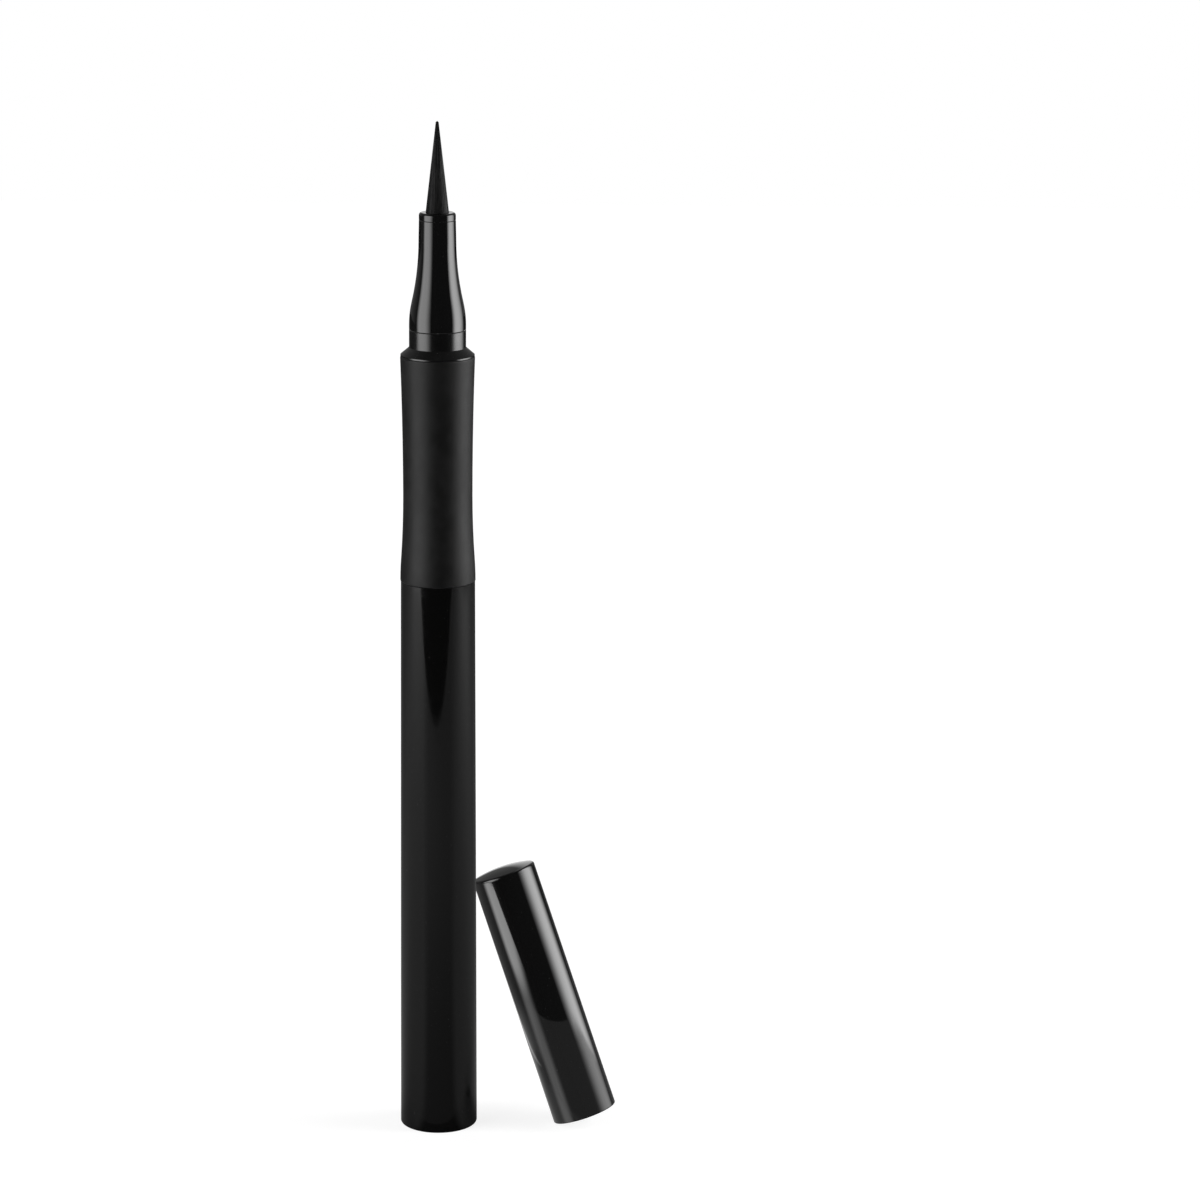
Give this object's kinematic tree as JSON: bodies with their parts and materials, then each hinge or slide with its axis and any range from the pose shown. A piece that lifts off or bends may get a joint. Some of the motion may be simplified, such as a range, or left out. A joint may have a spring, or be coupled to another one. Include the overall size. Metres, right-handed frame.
{
  "type": "liquid eyeliner pen",
  "caption": "Slim round cosmetic pen with a waisted soft grip, a flared nose and a long fibre nib, standing on its foot with its pull-off cap leaning beside it.",
  "frame": {"origin": "centre of the flat foot that the pen stands on", "axes": "+Z along the pen from the foot to the nib, +X towards the side where the cap leans, -Y towards the viewer of the picture"},
  "size_m": [0.0294, 0.0135, 0.1374],
  "materials": {
    "gloss_shell": "high-gloss black moulding",
    "soft_touch": "matte black soft-touch elastomer",
    "natural_plastic": "uncoloured satin plastic",
    "steel": "polished bearing ball",
    "fibre": "bonded fibre soaked with black ink",
    "nib_fibre": "fine bonded fibre, wet with black ink"
  },
  "bodies": {
    "pen": {"barrel": "gloss_shell", "tail_plug": "gloss_shell", "ink_tank": "natural_plastic", "tank_plug": "natural_plastic", "collector": "natural_plastic", "feed_wick": "fibre", "grip_sleeve": "soft_touch", "front_housing": "gloss_shell", "nose_cone": "gloss_shell", "nib_holder": "natural_plastic", "nib": "nib_fibre"},
    "cap": {"cap_shell": "gloss_shell", "inner_cap": "natural_plastic"},
    "ball": {"mixing_ball": "steel"}
  },
  "joints": [
    {"name": "cap_lift", "type": "slide", "parent": "pen", "child": "cap", "axis": [0, 0, 1], "range_m": [0, 0.145]},
    {"name": "ball_run", "type": "slide", "parent": "pen", "child": "ball", "axis": [0, 0, 1], "range_m": [0, 0.0665]}
  ]
}
